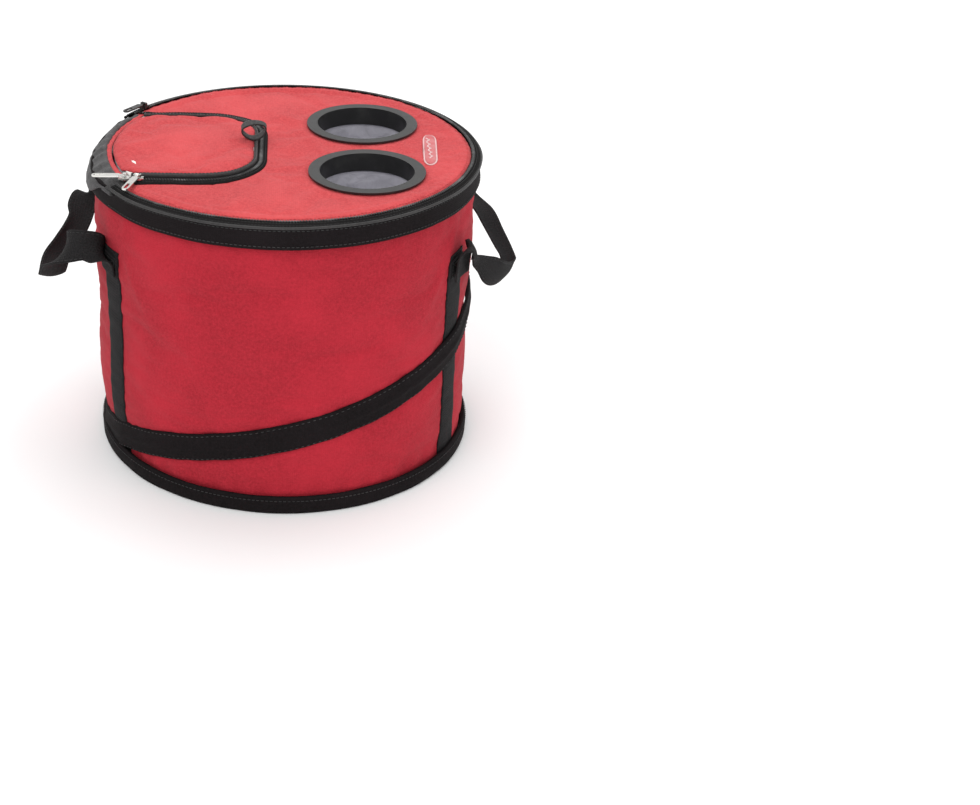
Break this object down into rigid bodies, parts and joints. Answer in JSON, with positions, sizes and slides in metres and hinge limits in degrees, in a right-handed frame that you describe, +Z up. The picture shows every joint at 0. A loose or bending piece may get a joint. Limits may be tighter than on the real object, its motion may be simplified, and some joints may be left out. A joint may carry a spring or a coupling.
{
  "type": "insulated cooler bag",
  "caption": "Round pop-up insulated cooler bag with a sprung padded wall, a zipped padded lid with an access flap, cup wells in the lid and webbing side handles.",
  "frame": {"origin": "centre of the base, on the floor", "axes": "+Z up; +X from the lid hinge towards the cup wells; +Y towards the back"},
  "size_m": [0.4902, 0.3726, 0.3191],
  "materials": {
    "red_polyester": "woven, matt",
    "black_polyester": "woven, slight sheen",
    "black_webbing": "ribbed webbing",
    "zip_tape": "knitted tape",
    "zip_coil": "nylon coil",
    "grey_piping": "cord-filled piping",
    "spring_wire": "hard drawn wire",
    "stiff_board": "pressed board",
    "white_foam": "closed-cell foam",
    "silver_lining": "heat-sealed film",
    "grey_well": "soft film",
    "black_plastic": "moulded, satin",
    "badge_rubber": "moulded patch",
    "nickel": "plated, worn"
  },
  "bodies": {
    "base": {"base_cover": "black_polyester", "base_band": "black_polyester", "base_ring_wire": "spring_wire", "base_board": "stiff_board", "base_foam": "white_foam", "lining_floor": "silver_lining", "outer_wall": "red_polyester", "wall_foam": "white_foam", "lining_wall": "silver_lining", "spring_coil": "spring_wire", "spiral_band": "black_polyester", "strap_left_front": "black_webbing", "strap_left_back": "black_webbing", "strap_right_front": "black_webbing", "strap_right_back": "black_webbing"},
    "rim": {"top_band": "black_polyester", "rim_wire": "spring_wire", "rim_piping": "grey_piping", "rim_zip_tape": "zip_tape", "rim_zip_teeth": "zip_coil", "lid_hinge": "black_polyester", "mouth_trim": "black_polyester"},
    "lid": {"lid_cover": "red_polyester", "lid_foam": "white_foam", "lid_lining": "silver_lining", "lid_binding": "black_polyester", "lid_zip_tape": "zip_tape", "lid_zip_teeth": "zip_coil", "cup_ring_front": "black_plastic", "cup_ring_back": "black_plastic", "cup_retainer_front": "black_plastic", "cup_retainer_back": "black_plastic", "cup_well_front": "grey_well", "cup_well_back": "grey_well", "badge": "badge_rubber", "flap_frame_tape": "zip_tape", "flap_frame_teeth": "zip_coil"},
    "flap": {"flap_cover": "red_polyester", "flap_foam": "white_foam", "flap_lining": "silver_lining", "flap_binding": "black_polyester", "flap_zip_tape": "zip_tape", "flap_zip_teeth": "zip_coil", "flap_pull_loop": "black_webbing"},
    "main_slider_body": {"main_slider": "nickel"},
    "main_pull_body": {"main_pull": "nickel"},
    "left_slider_body": {"flap_slider_left": "nickel"},
    "left_pull_body": {"flap_pull_left": "nickel"},
    "right_slider_body": {"flap_slider_right": "nickel"},
    "right_pull_body": {"flap_pull_right": "nickel"},
    "left_anchors": {"anchor_left_front": "black_webbing", "anchor_left_back": "black_webbing"},
    "left_handle_body": {"handle_left": "black_webbing"},
    "right_anchors": {"anchor_right_front": "black_webbing", "anchor_right_back": "black_webbing"},
    "right_handle_body": {"handle_right": "black_webbing"}
  },
  "joints": [
    {"name": "collapse", "type": "slide", "parent": "base", "child": "rim", "axis": [0, 0, 1], "range_m": [-0.185, 0], "stiffness_N_per_m": 60, "springref_m": 0.25, "deforming": ["outer_wall", "wall_foam", "lining_wall", "spring_coil", "spiral_band", "strap_left_front", "strap_left_back", "strap_right_front", "strap_right_back"]},
    {"name": "lid_open", "type": "hinge", "parent": "rim", "child": "lid", "pos_m": [-0.178, 0, 0.2955], "axis": [0, -1, 0], "range_deg": [0, 110]},
    {"name": "flap_open", "type": "hinge", "parent": "lid", "child": "flap", "pos_m": [-0.166, 0, 0.3], "axis": [0, -1, 0], "range_deg": [0, 110]},
    {"name": "main_zip_travel", "type": "hinge", "parent": "rim", "child": "main_slider_body", "pos_m": [0, 0, 0.297], "axis": [0, 0, -1], "range_deg": [0, 265]},
    {"name": "main_pull_swing", "type": "hinge", "parent": "main_slider_body", "child": "main_pull_body", "pos_m": [-0.14413, 0.10665, 0.3006], "axis": [-0.8039, 0.5948, 0], "range_deg": [0, 150]},
    {"name": "flap_left_slider_travel", "type": "slide", "parent": "lid", "child": "left_slider_body", "axis": [1, 0, 0], "range_m": [-0.004, 0]},
    {"name": "flap_left_pull_swing", "type": "hinge", "parent": "left_slider_body", "child": "left_pull_body", "pos_m": [-0.1475, -0.086, 0.3006], "axis": [0, 1, 0], "range_deg": [0, 150]},
    {"name": "flap_right_slider_travel", "type": "slide", "parent": "lid", "child": "right_slider_body", "axis": [1, 0, 0], "range_m": [0, 0.052]},
    {"name": "flap_right_pull_swing", "type": "hinge", "parent": "right_slider_body", "child": "right_pull_body", "pos_m": [-0.1355, -0.086, 0.3006], "axis": [-0.9397, 0.342, 0], "range_deg": [0, 120]},
    {"name": "left_anchor_travel", "type": "slide", "parent": "base", "child": "left_anchors", "axis": [0, 0, 1], "range_m": [-0.1445, 0]},
    {"name": "left_handle_swing", "type": "hinge", "parent": "left_anchors", "child": "left_handle_body", "pos_m": [-0.166, 0, 0.214], "axis": [0, -1, 0], "range_deg": [-60, 15]},
    {"name": "right_anchor_travel", "type": "slide", "parent": "base", "child": "right_anchors", "axis": [0, 0, 1], "range_m": [-0.1445, 0]},
    {"name": "right_handle_swing", "type": "hinge", "parent": "right_anchors", "child": "right_handle_body", "pos_m": [0.166, 0, 0.214], "axis": [0, 1, 0], "range_deg": [-60, 15]}
  ],
  "couplings": [
    {"joint": "left_anchor_travel", "follows": "collapse", "ratio": 0.78},
    {"joint": "right_anchor_travel", "follows": "collapse", "ratio": 0.78}
  ]
}
